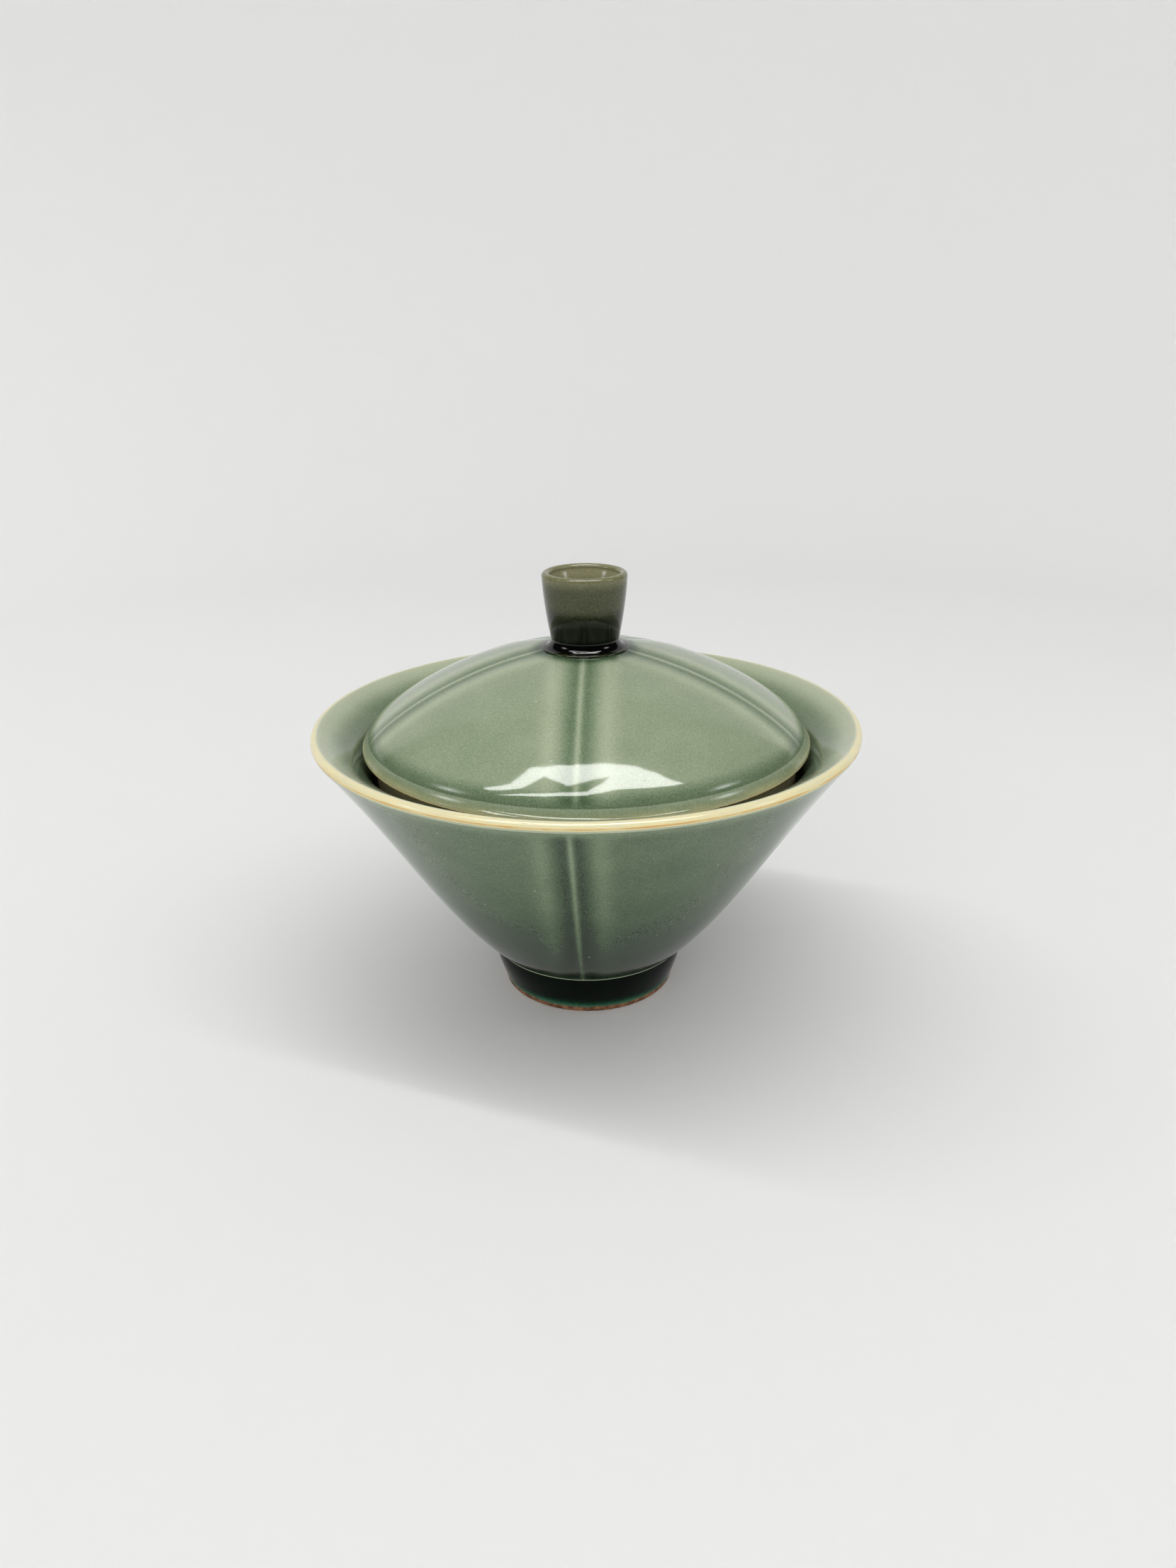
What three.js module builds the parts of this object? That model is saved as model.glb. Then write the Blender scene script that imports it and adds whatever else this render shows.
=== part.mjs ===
// A covered rice bowl in celadon stoneware: a conical bowl on a turned foot ring, and a
// domed lid with a locating flange below it and a hollow, cup-shaped knob on top.
// Five raised ribs run down the outside of the bowl and down the top of the lid.
// Millimetres, +Z up. The origin is on the bowl's axis, on the surface that it stands on.
import * as THREE from 'three';

// Bowl wall
const RIM_LIP_CENTRE = [56.4, 60.35];
const RIM_THICKNESS = 2.3;
const LIP_START_ANGLE = -37.5;
const LIP_END_ANGLE = 118;
const CREASE_RADIUS = 21.4;
const CREASE_HEIGHT = 9.5;
const WALL_LOWER_PULL = [34.7, 22.2];
const WALL_UPPER_PULL = [43.5, 41.9];
const WALL_THICKNESS_AT_FOOT = 3.4;
const WELL_HEIGHT = 10.6;
const WELL_PULL = [15.0, WELL_HEIGHT];
const GALLERY_FOOT_RADIUS = 45.4;
const GALLERY_LOWER_PULL = [46.9, 50.4];
const GALLERY_UPPER_PULL = [43.0, 54.6];

// Foot ring, and the bowl's base inside it
const FOOT_BOTTOM_RADIUS = 19.0;
const FOOT_TOP_RADIUS = 21.2;
const FOOT_INNER_RADIUS = 15.4;
const FOOT_EDGE_ROUNDING = 0.7;
const BASE_RADIUS = 15.0;
const BASE_HEIGHT = 6.0;
const LUTING_GAP = 0.35;
const SLOPING_LUTING_GAP = 0.55;

// Lid
const DOME_TOP_HEIGHT = 77.2;
const DOME_CROWN_PULL = [24.6, DOME_TOP_HEIGHT];
const DOME_SHOULDER_PULL = [45.6, 62.6];
const SHOULDER_RADIUS = 45.9;
const SHOULDER_HEIGHT = 59.2;
const LID_RADIUS = 47.2;
const LID_EDGE_HEIGHT = 57.9;
const LID_UNDERSIDE_HEIGHT = 56.8;
const LID_CHAMFER_WIDTH = 1.0;
const LID_CHAMFER_RISE = 0.6;
const LID_THICKNESS = 3.0;
const FLANGE_RADIUS = 44.6;
const FLANGE_THICKNESS = 2.8;
const FLANGE_EDGE_ROUNDING = 0.8;
const SEAT_CLEARANCE = 0.45;

// Knob
const KNOB_BASE_RADIUS = 7.1;
const KNOB_LOWER_PULL = [7.6, 81.0];
const KNOB_UPPER_PULL = [8.6, 87.0];
const KNOB_TOP_RADIUS = 8.8;
const KNOB_TOP_HEIGHT = 92.4;
const KNOB_LIP_THICKNESS = 1.7;
const CUP_RIM_PULL = [6.7, 90.0];
const CUP_THROAT_PULL = [4.6, 87.5];
const CUP_THROAT = [4.2, 84.6];
const CUP_CORNER_PULL = [3.9, 83.0];
const CUP_FLOOR_PULL = [2.0, 82.6];
const CUP_FLOOR = [0, 82.6];

// Ribs: a thin raised line in a shallow groove with soft shoulders
const RIB_COUNT = 5;
const RIB_HEIGHT = 0.75;
const RIB_HALF_WIDTH = 1.0;
const GROOVE_DEPTH = 0.6;
const GROOVE_HALF_WIDTH = 3.6;
const SHOULDER_RISE = 0.15;
const SHOULDER_DISTANCE = 7.0;
const SHOULDER_HALF_WIDTH = 2.5;
const BOWL_RIB_TURN = -3.1;
const LID_RIB_TURN = -2.5;
const BOWL_FADE_IN = 0.02;
const BOWL_FADE_OUT = 0.08;
const LID_FADE_IN = 0.12;
const LID_FADE_OUT = 0.25;

// Fineness of the facets
const WALL_STEPS = 9;
const GALLERY_STEPS = 5;
const WELL_STEPS = 4;
const DOME_STEPS = 9;
const LIP_STEPS = 5;
const EDGE_STEPS = 3;
const KNOB_SIDE_STEPS = 8;
const KNOB_LIP_STEPS = 6;
const CUP_STEPS = 5;
const CUP_FLOOR_STEPS = 3;
const HALF_RIB_COLUMNS = 8;
const COLUMN_CROWDING = 1.8;
const PLAIN_COLUMNS = 60;
const KNOB_COLUMNS = 40;

const v2 = (pair) => new THREE.Vector2(pair[0], pair[1]);
const degrees = THREE.MathUtils.degToRad;

function bezier(start, startPull, endPull, end, steps) {
  return new THREE.CubicBezierCurve(v2(start), v2(startPull), v2(endPull), v2(end)).getPoints(steps);
}

function arc(centre, radius, startAngle, endAngle, steps) {
  const clockwise = endAngle < startAngle;
  const curve = new THREE.EllipseCurve(
    centre[0], centre[1], radius, radius, degrees(startAngle), degrees(endAngle), clockwise);
  return curve.getPoints(steps);
}

// Unit normals of an outline, on the right-hand side of its direction of travel.
function outlineNormals(outline) {
  return outline.map((_, i) => {
    const before = outline[Math.max(i - 1, 0)];
    const after = outline[Math.min(i + 1, outline.length - 1)];
    const along = after.clone().sub(before).normalize();
    return new THREE.Vector2(along.y, -along.x);
  });
}

// The same outline moved to its left by a thickness that changes evenly along it.
function thickened(outline, startThickness, endThickness) {
  const normals = outlineNormals(outline);
  return outline.map((point, i) => {
    const share = i / (outline.length - 1);
    const thickness = THREE.MathUtils.lerp(startThickness, endThickness, share);
    return point.clone().addScaledVector(normals[i], -thickness);
  });
}

function heightAtRadius(outline, radius) {
  for (let i = 1; i < outline.length; i++) {
    const [low, high] = [outline[i - 1], outline[i]];
    if ((low.x - radius) * (high.x - radius) <= 0) {
      return THREE.MathUtils.mapLinear(radius, low.x, high.x, low.y, high.y);
    }
  }
  throw new Error(`The outline never reaches a radius of ${radius}`);
}

// Height of the ribbed surface above the plain one, at a distance across the nearest rib.
function ribRelief(distance) {
  const bump = (height, halfWidth, offset) => height * Math.exp(-(((distance - offset) / halfWidth) ** 2));
  return bump(RIB_HEIGHT, RIB_HALF_WIDTH, 0)
    - bump(GROOVE_DEPTH, GROOVE_HALF_WIDTH, 0)
    + bump(SHOULDER_RISE, SHOULDER_HALF_WIDTH, SHOULDER_DISTANCE);
}

// Columns of vertices round the axis, close together at each rib and wider between ribs.
function ribbedColumns() {
  const halfPitch = Math.PI / RIB_COUNT;
  const columns = [];
  for (let rib = 0; rib < RIB_COUNT; rib++) {
    for (let k = -HALF_RIB_COLUMNS; k < HALF_RIB_COLUMNS; k++) {
      const fromRib = halfPitch * (Math.abs(k) / HALF_RIB_COLUMNS) ** COLUMN_CROWDING;
      columns.push({ angle: 2 * halfPitch * rib + Math.sign(k) * fromRib, fromRib });
    }
  }
  const first = columns[0];
  columns.push({ angle: first.angle + 2 * Math.PI, fromRib: first.fromRib });
  return columns;
}

function revolved(outline, columnCount) {
  return new THREE.LatheGeometry(outline, columnCount).rotateX(Math.PI / 2);
}

// A revolved outline with the ribs raised on it. share gives, for each point of the
// outline, how much of the relief it takes: 1 on the ribbed face, 0 elsewhere.
function revolvedWithRibs(outline, share, turn) {
  const columns = ribbedColumns();
  const geometry = new THREE.LatheGeometry(outline, columns.length - 1);
  const position = geometry.getAttribute('position');
  const normals = outlineNormals(outline);
  columns.forEach(({ angle, fromRib }, i) => {
    outline.forEach((point, j) => {
      const moved = point.clone().addScaledVector(normals[j], share[j] * ribRelief(fromRib * point.x));
      const azimuth = angle + degrees(turn);
      const index = i * outline.length + j;
      position.setXYZ(index, moved.x * Math.sin(azimuth), moved.y, moved.x * Math.cos(azimuth));
    });
  });
  return geometry.rotateX(Math.PI / 2);
}

function ceramicPiece(name, geometry, colour, roughness) {
  const material = new THREE.MeshStandardMaterial({ color: colour, roughness, metalness: 0 });
  const mesh = new THREE.Mesh(geometry, material);
  mesh.name = name;
  return mesh;
}

// How much rib relief a point takes at a share t of the way along a ribbed face: the ribs
// fade in over the first part of the face and out over the last.
function ribFade(t, fadeIn, fadeOut) {
  return THREE.MathUtils.smoothstep(t, 0, fadeIn) * (1 - THREE.MathUtils.smoothstep(t, 1 - fadeOut, 1));
}

// ---- Bowl ----
const lip = arc(RIM_LIP_CENTRE, RIM_THICKNESS / 2, LIP_START_ANGLE, LIP_END_ANGLE, LIP_STEPS);
const outerWall = bezier(
  [CREASE_RADIUS, CREASE_HEIGHT], WALL_LOWER_PULL, WALL_UPPER_PULL, lip[0].toArray(), WALL_STEPS);

// The inside of the wall, from the well up to the lip: it follows the outside as far as the
// gallery, the steeper band beside the lid's flange, and then flares out to the lip.
function makeInnerWall() {
  const lowerWall = thickened(outerWall, WALL_THICKNESS_AT_FOOT, RIM_THICKNESS)
    .filter((point) => point.x < GALLERY_FOOT_RADIUS);
  const gallery = bezier(
    lowerWall.at(-1).toArray(), GALLERY_LOWER_PULL, GALLERY_UPPER_PULL, lip.at(-1).toArray(), GALLERY_STEPS);
  return [...lowerWall, ...gallery.slice(1)];
}

const innerWall = makeInnerWall();

function bowlBody() {
  const base = [[0, BASE_HEIGHT], [BASE_RADIUS, BASE_HEIGHT], [BASE_RADIUS, CREASE_HEIGHT]].map(v2);
  const inside = innerWall.slice(1, -1).reverse();
  const well = bezier(inside.at(-1).toArray(), WELL_PULL, WELL_PULL, [0, WELL_HEIGHT], WELL_STEPS);
  const outline = [...base, ...outerWall, ...lip.slice(1), ...inside, ...well.slice(1)];
  const share = outline.map((_, i) => {
    const t = (i - base.length) / (outerWall.length - 1);
    return t >= 0 && t <= 1 ? ribFade(t, BOWL_FADE_IN, BOWL_FADE_OUT) : 0;
  });
  return revolvedWithRibs(outline, share, BOWL_RIB_TURN);
}

function footRing() {
  const top = CREASE_HEIGHT - LUTING_GAP;
  const rounding = FOOT_EDGE_ROUNDING;
  const outerEdge = arc([FOOT_BOTTOM_RADIUS - rounding, rounding], rounding, -90, 0, EDGE_STEPS);
  const innerEdge = arc([FOOT_INNER_RADIUS + rounding, rounding], rounding, 180, 270, EDGE_STEPS);
  const outline = [
    ...outerEdge,
    v2([FOOT_TOP_RADIUS, top]),
    v2([FOOT_INNER_RADIUS, top]),
    ...innerEdge,
    outerEdge[0].clone(),
  ];
  return revolved(outline, PLAIN_COLUMNS);
}

// ---- Lid ----
const domeTop = bezier(
  [SHOULDER_RADIUS, SHOULDER_HEIGHT],
  DOME_SHOULDER_PULL,
  DOME_CROWN_PULL,
  [0, DOME_TOP_HEIGHT],
  DOME_STEPS,
);
const domeUnderside = thickened(domeTop, LID_THICKNESS, LID_THICKNESS).slice(1);

function lidDome() {
  const edge = [
    [LID_RADIUS - LID_CHAMFER_WIDTH, LID_UNDERSIDE_HEIGHT],
    [LID_RADIUS, LID_UNDERSIDE_HEIGHT + LID_CHAMFER_RISE],
    [LID_RADIUS, LID_EDGE_HEIGHT],
  ].map(v2);
  const seatRadius = FLANGE_RADIUS - FLANGE_THICKNESS;
  const crown = v2([0, domeUnderside.at(-1).y]);
  const vault = domeUnderside.slice(0, -1).filter((point) => point.x < seatRadius).reverse();
  const seat = [
    v2([seatRadius, heightAtRadius(domeUnderside, seatRadius)]),
    v2([FLANGE_RADIUS, LID_UNDERSIDE_HEIGHT]),
  ];
  const outline = [crown, ...vault, ...seat, ...edge, ...domeTop];
  const firstRibbed = outline.length - domeTop.length;
  const share = outline.map((_, i) => {
    const t = (i - firstRibbed) / (domeTop.length - 1);
    return t >= 0 ? ribFade(t, LID_FADE_IN, LID_FADE_OUT) : 0;
  });
  return revolvedWithRibs(outline, share, LID_RIB_TURN);
}

function lidFlange() {
  const inner = FLANGE_RADIUS - FLANGE_THICKNESS;
  const rounding = FLANGE_EDGE_ROUNDING;
  const bottom = heightAtRadius(innerWall, FLANGE_RADIUS + SEAT_CLEARANCE);
  const outerEdge = arc([FLANGE_RADIUS - rounding, bottom + rounding], rounding, -90, 0, EDGE_STEPS);
  const innerEdge = arc([inner + rounding, bottom + rounding], rounding, 180, 270, EDGE_STEPS);
  const outline = [
    ...outerEdge,
    v2([FLANGE_RADIUS, LID_UNDERSIDE_HEIGHT - LUTING_GAP]),
    v2([inner, heightAtRadius(domeUnderside, inner) - SLOPING_LUTING_GAP]),
    ...innerEdge,
    outerEdge[0].clone(),
  ];
  return revolved(outline, PLAIN_COLUMNS);
}

function lidKnob() {
  const bottom = DOME_TOP_HEIGHT + LUTING_GAP;
  const lipHalf = KNOB_LIP_THICKNESS / 2;
  const lipCentre = [KNOB_TOP_RADIUS - lipHalf, KNOB_TOP_HEIGHT - lipHalf];
  const knobLip = arc(lipCentre, lipHalf, 0, 180, KNOB_LIP_STEPS);
  const side = bezier(
    [KNOB_BASE_RADIUS, bottom], KNOB_LOWER_PULL, KNOB_UPPER_PULL, knobLip[0].toArray(), KNOB_SIDE_STEPS);
  const cup = bezier(knobLip.at(-1).toArray(), CUP_RIM_PULL, CUP_THROAT_PULL, CUP_THROAT, CUP_STEPS);
  const floor = bezier(CUP_THROAT, CUP_CORNER_PULL, CUP_FLOOR_PULL, CUP_FLOOR, CUP_FLOOR_STEPS);
  const outline = [v2([0, bottom]), ...side, ...knobLip.slice(1), ...cup.slice(1), ...floor.slice(1)];
  return revolved(outline, KNOB_COLUMNS);
}

// ---- Assembly ----
const bowl = new THREE.Group();
bowl.add(ceramicPiece('bowl_body', bowlBody(), 0x71846b, 0.12));
bowl.add(ceramicPiece('foot_ring', footRing(), 0x1f2b22, 0.2));

const lid = new THREE.Group();
lid.add(ceramicPiece('lid_dome', lidDome(), 0x75896f, 0.1));
lid.add(ceramicPiece('lid_flange', lidFlange(), 0x8a8268, 0.35));
lid.add(ceramicPiece('lid_knob', lidKnob(), 0x7d8068, 0.12));

const coveredBowl = new THREE.Group();
coveredBowl.add(bowl, lid);

export default coveredBowl;
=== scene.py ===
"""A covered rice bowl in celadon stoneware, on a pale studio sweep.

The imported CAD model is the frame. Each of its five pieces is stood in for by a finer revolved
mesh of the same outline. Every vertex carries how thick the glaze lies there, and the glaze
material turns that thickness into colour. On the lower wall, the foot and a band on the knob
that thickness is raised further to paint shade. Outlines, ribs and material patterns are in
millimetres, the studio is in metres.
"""
import math
from dataclasses import dataclass

import bpy
from mathutils import Matrix, Vector


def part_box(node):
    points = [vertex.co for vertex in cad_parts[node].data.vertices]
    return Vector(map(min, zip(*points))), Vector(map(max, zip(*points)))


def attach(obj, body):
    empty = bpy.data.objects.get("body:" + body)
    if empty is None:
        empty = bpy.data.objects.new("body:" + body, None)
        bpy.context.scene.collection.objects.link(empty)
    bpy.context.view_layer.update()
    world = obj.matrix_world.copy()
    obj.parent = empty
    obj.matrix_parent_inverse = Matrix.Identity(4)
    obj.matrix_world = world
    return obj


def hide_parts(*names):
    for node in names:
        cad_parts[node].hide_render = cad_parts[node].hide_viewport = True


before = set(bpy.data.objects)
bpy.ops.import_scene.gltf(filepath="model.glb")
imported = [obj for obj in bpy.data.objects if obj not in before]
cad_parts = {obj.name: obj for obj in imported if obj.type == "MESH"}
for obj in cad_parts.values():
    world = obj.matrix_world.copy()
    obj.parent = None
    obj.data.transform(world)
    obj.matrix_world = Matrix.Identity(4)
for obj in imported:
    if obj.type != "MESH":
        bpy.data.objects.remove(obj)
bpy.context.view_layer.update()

MM = 0.001


def node_box(name):
    """Lowest and highest corner of a CAD node, in millimetres."""
    low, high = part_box(name)
    return Vector(low) / MM, Vector(high) / MM


BOWL_LOW, BOWL_HIGH = node_box("bowl_body")
_, FOOT_HIGH = node_box("foot_ring")
DOME_LOW, DOME_HIGH = node_box("lid_dome")
FLANGE_LOW, FLANGE_HIGH = node_box("lid_flange")
_, KNOB_HIGH = node_box("lid_knob")

# ---- Outlines, in millimetres ----
LUTING_GAP = 0.35
TUCK = 0.5  # how far the meshes of the flange and the knob reach into the dome's

# Bowl wall
RIM_THICKNESS = 2.3
LIP_START_ANGLE = -37.5
LIP_END_ANGLE = 118
CREASE_RADIUS = 21.4
CREASE_HEIGHT = FOOT_HIGH.z + LUTING_GAP
CREASE_ROUNDING = 0.35
CREASE_END_ANGLE = -8
WALL_LOWER_PULL = (34.7, 22.2)
WALL_UPPER_PULL = (43.5, 41.9)
WALL_THICKNESS_AT_FOOT = 3.4
WELL_HEIGHT = 10.6
WELL_PULL = (15.0, WELL_HEIGHT)
GALLERY_FOOT_RADIUS = 45.4
GALLERY_LOWER_PULL = (46.9, 50.4)
GALLERY_UPPER_PULL = (43.0, 54.6)

# Foot ring
FOOT_BOTTOM_RADIUS = 19.0
FOOT_TOP_RADIUS = FOOT_HIGH.x
FOOT_LOWER_PULL = (FOOT_BOTTOM_RADIUS + 0.6, 3.2)
FOOT_UPPER_PULL = (FOOT_TOP_RADIUS, 6.4)
FOOT_INNER_RADIUS = 15.4
FOOT_INNER_PULL_HEIGHTS = (6.0, 3.0)
FOOT_EDGE_ROUNDING = 0.7
FOOT_BARE_EDGE = (0.15, 1.15)  # heights between which the glaze starts
BASE_RADIUS = 15.0

# Lid
SHOULDER = (45.9, 59.2)
DOME_SHOULDER_PULL = (45.6, 62.6)
DOME_CROWN_PULL = (24.6, DOME_HIGH.z)
LID_RADIUS = DOME_HIGH.x
LID_EDGE_HEIGHT = 57.9
LID_UNDERSIDE_HEIGHT = DOME_LOW.z
LID_THICKNESS = 3.0
LID_EDGE_ROUNDING = 0.35
LID_EDGE_END_ANGLE = 62
FLANGE_RADIUS = FLANGE_HIGH.x
FLANGE_THICKNESS = 2.8
FLANGE_EDGE_ROUNDING = 0.8

# Knob
KNOB_FOOT_HEIGHT = DOME_HIGH.z - LUTING_GAP
KNOB_NECK_RADIUS = 7.1
KNOB_LOWER_PULL = (7.6, 81.0)
KNOB_UPPER_PULL = (8.6, 87.0)
KNOB_TOP_RADIUS = KNOB_HIGH.x
KNOB_LIP_THICKNESS = 1.7
KNOB_FILLET = 1.9
CUP_RIM_PULL = (6.7, 90.0)
CUP_THROAT_PULL = (4.6, 87.5)
CUP_THROAT = (4.2, 84.6)
CUP_CORNER_PULL = (3.9, 83.0)
CUP_FLOOR_PULL = (2.0, 82.6)
CUP_FLOOR = (0.0, 82.6)

# Ribs. Distances run across the rib, along the surface.
RIB_COUNT = 5
BOWL_RIB_TURN = math.radians(-3.1)
LID_RIB_TURN = math.radians(-2.5)
RIDGE_HALF_WIDTH = 0.80
GROOVE_HALF_WIDTH = 2.7
SHOULDER_DISTANCE = 5.2
SHOULDER_HALF_WIDTH = 2.3
RIDGE_RISE = 0.20
GROOVE_DROP = 0.22
SHOULDER_RISE = 0.10

# Thickness of the glaze, where 0 is none, 1 the open dome and 4 a pool. On the lower wall, the foot and
# the knob some of it is painted shade.
RIDGE_THINNING = 1.15
GROOVE_POOLING = 0.95
SHOULDER_THINNING = 0.30
WALL_GLAZE = 2.0
# The next two darken the wall towards the foot: partly glaze that runs down and pools, partly painted
# shade under the flare.
WALL_RUN_DOWN_AND_PAINTED_SHADE = 0.85
WALL_POOL_AND_PAINTED_SHADE = 1.5
LOST_UNDER_RIM = 0.6
LOST_AT_CREASE = 1.1
WALL_POOLING = 1.9
WALL_THINNING = 2.25
WALL_THINNING_BELOW = 0.9
BASE_GLAZE = 1.4
GALLERY_GLAZE = 1.5
FLARE_GLAZE = 0.55
LOWER_INSIDE_GLAZE = 1.45
WELL_EDGE_GLAZE = 1.1
WELL_GLAZE = 1.5
FOOT_THIN_GLAZE = 1.6
# Painted shade: the foot's side goes near black, partly pooled glaze, partly the shade under the bowl.
FOOT_POOL_AND_PAINTED_SHADE = 7.0
FOOT_INSIDE_GLAZE = 2.0
BARE_CLAY_GLAZE = 0.2
DOME_GLAZE = 1.0
LOST_AT_SHOULDER = 0.8
SHOULDER_POOL = 0.65
NECK_HALO = 2.0
LID_INSIDE_GLAZE = 0.7
LID_SEAT_GLAZE = 0.5
LID_UNDER_EDGE_GLAZE = 0.3
LID_EDGE_GLAZE = 1.7
FLANGE_OUTSIDE_GLAZE = 0.6
FLANGE_INSIDE_GLAZE = 0.8
KNOB_GLAZE = 2.15
# Painted shade and painted reflection: a dark band on the knob above its neck, where the lid is mirrored.
KNOB_PAINTED_DARK_BAND = 4.4
LOST_UNDER_KNOB_LIP = 0.9
KNOB_LIP_OUTER_GLAZE = 1.25
KNOB_LIP_TOP_GLAZE = 0.95
KNOB_LIP_INNER_GAIN = 0.2
FILLET_GLAZE = 2.4
NECK_POOL = 8.0
KNOB_SEAT_GLAZE = 7.0
CUP_RIM_GLAZE = 0.8
CUP_WALL_GLAZE = 1.3
CUP_FLOOR_GLAZE = 2.0

# Fineness of the meshes
HALF_RIB_COLUMNS = 30
COLUMN_CROWDING = 1.7
PLAIN_COLUMNS = 240
LONG_STEPS = 90
MIDDLE_STEPS = 50
FOOT_SIDE_STEPS = 40
CUP_STEPS = 30
SHORT_STEPS = 24
KNOB_LIP_STEPS = 20
FILLET_STEPS = 18
CUP_FLOOR_STEPS = 14
STRAIGHT_STEPS = 12
ROUNDING_STEPS = 8
CREASE_STEPS = 6
LID_EDGE_STEPS = 5
ON_AXIS = 1e-6


# ---- Outline tools ----
def smoothstep(value, low, high):
    """0 below low, 1 above high, and a smooth turn between them."""
    share = min(max((value - low) / (high - low), 0.0), 1.0)
    return share * share * (3.0 - 2.0 * share)


def fade(value, low, high):
    """1 below low, 0 above high, and a smooth turn between them."""
    return 1.0 - smoothstep(value, low, high)


def bump(distance, half_width):
    """A bell of height 1."""
    return math.exp(-((distance / half_width) ** 2))


def mix(start, end, share):
    return start + (end - start) * share


def bezier(start, start_pull, end_pull, end, steps):
    """Points along a cubic curve."""
    points = []
    for i in range(steps + 1):
        t = i / steps
        weights = ((1 - t) ** 3, 3 * t * (1 - t) ** 2, 3 * t * t * (1 - t), t ** 3)
        corners = (start, start_pull, end_pull, end)
        points.append(tuple(sum(w * c[axis] for w, c in zip(weights, corners)) for axis in (0, 1)))
    return points


def arc(centre, radius, start_angle, end_angle, steps):
    """Points along a circle, between two angles in degrees."""
    points = []
    for i in range(steps + 1):
        angle = math.radians(mix(start_angle, end_angle, i / steps))
        points.append((centre[0] + radius * math.cos(angle), centre[1] + radius * math.sin(angle)))
    return points


def outline_normals(points):
    """Unit normals on the right-hand side of the direction of travel."""
    normals = []
    for i in range(len(points)):
        before = Vector(points[max(i - 1, 0)])
        after = Vector(points[min(i + 1, len(points) - 1)])
        along = (after - before).normalized()
        normals.append(Vector((along.y, -along.x)))
    return normals


def thickened(points, start_thickness, end_thickness):
    """The same outline, moved to its left by a thickness that changes evenly along it."""
    moved = []
    for i, (point, normal) in enumerate(zip(points, outline_normals(points))):
        thickness = mix(start_thickness, end_thickness, i / (len(points) - 1))
        moved.append(tuple(Vector(point) - thickness * normal))
    return moved


def height_at_radius(points, radius):
    """Height at which an outline first reaches a radius."""
    for low, high in zip(points, points[1:]):
        if (low[0] - radius) * (high[0] - radius) <= 0:
            return mix(low[1], high[1], (radius - low[0]) / (high[0] - low[0]))
    raise ValueError(f"the outline never reaches a radius of {radius}")


@dataclass
class Ring:
    """One ring of a revolved outline, in millimetres, and what its surface is like."""
    point: tuple
    depth: float     # thickness of the glaze, raised in places to paint shade
    relief: float    # how much of the ribs' relief it takes
    pooling: float   # how strongly glaze pools beside the ribs
    thinning: float  # how strongly glaze thins on the ridges
    bare: float      # 1 where the clay has no glaze
    gold: float      # up to 0.5 a pale warmth, 1 where thin glaze has fired golden brown


def rings(points, depth, relief=0.0, pooling=0.0, thinning=0.0, bare=0.0, gold=0.0):
    """A ring for each point. A value may be a function of the share t of the way along."""
    made = []
    for i, point in enumerate(points):
        t = i / max(len(points) - 1, 1)
        looks = (depth, relief, pooling, thinning, bare, gold)
        values = [look(t) if callable(look) else look for look in looks]
        made.append(Ring(point, *values))
    return made


# ---- Ribs ----
def rib_rise(distance):
    """Height of the ribbed surface above the plain one."""
    return (
        RIDGE_RISE * bump(distance, RIDGE_HALF_WIDTH)
        - GROOVE_DROP * bump(distance, GROOVE_HALF_WIDTH)
        + SHOULDER_RISE * bump(distance - SHOULDER_DISTANCE, SHOULDER_HALF_WIDTH)
    )


def rib_depth(distance, pooling, thinning):
    """Glaze thickness that the ribs add: it pools beside the ridge and thins on what stands up."""
    pool = GROOVE_POOLING * bump(distance, GROOVE_HALF_WIDTH)
    on_ridge = RIDGE_THINNING * bump(distance, RIDGE_HALF_WIDTH)
    on_shoulder = SHOULDER_THINNING * bump(distance - SHOULDER_DISTANCE, SHOULDER_HALF_WIDTH)
    return pooling * (pool - on_shoulder) - thinning * on_ridge


def ribbed_columns(turn):
    """(azimuth, angle from the nearest rib) of each column, crowded together at the ribs."""
    half_pitch = math.pi / RIB_COUNT
    columns = []
    for rib in range(RIB_COUNT):
        for k in range(-HALF_RIB_COLUMNS, HALF_RIB_COLUMNS):
            from_rib = half_pitch * (abs(k) / HALF_RIB_COLUMNS) ** COLUMN_CROWDING
            azimuth = turn + 2 * half_pitch * rib + math.copysign(from_rib, k)
            columns.append((azimuth, from_rib))
    return columns


def plain_columns():
    """Evenly spaced columns, with no rib near any of them."""
    return [(2 * math.pi * i / PLAIN_COLUMNS, math.pi) for i in range(PLAIN_COLUMNS)]


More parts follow.
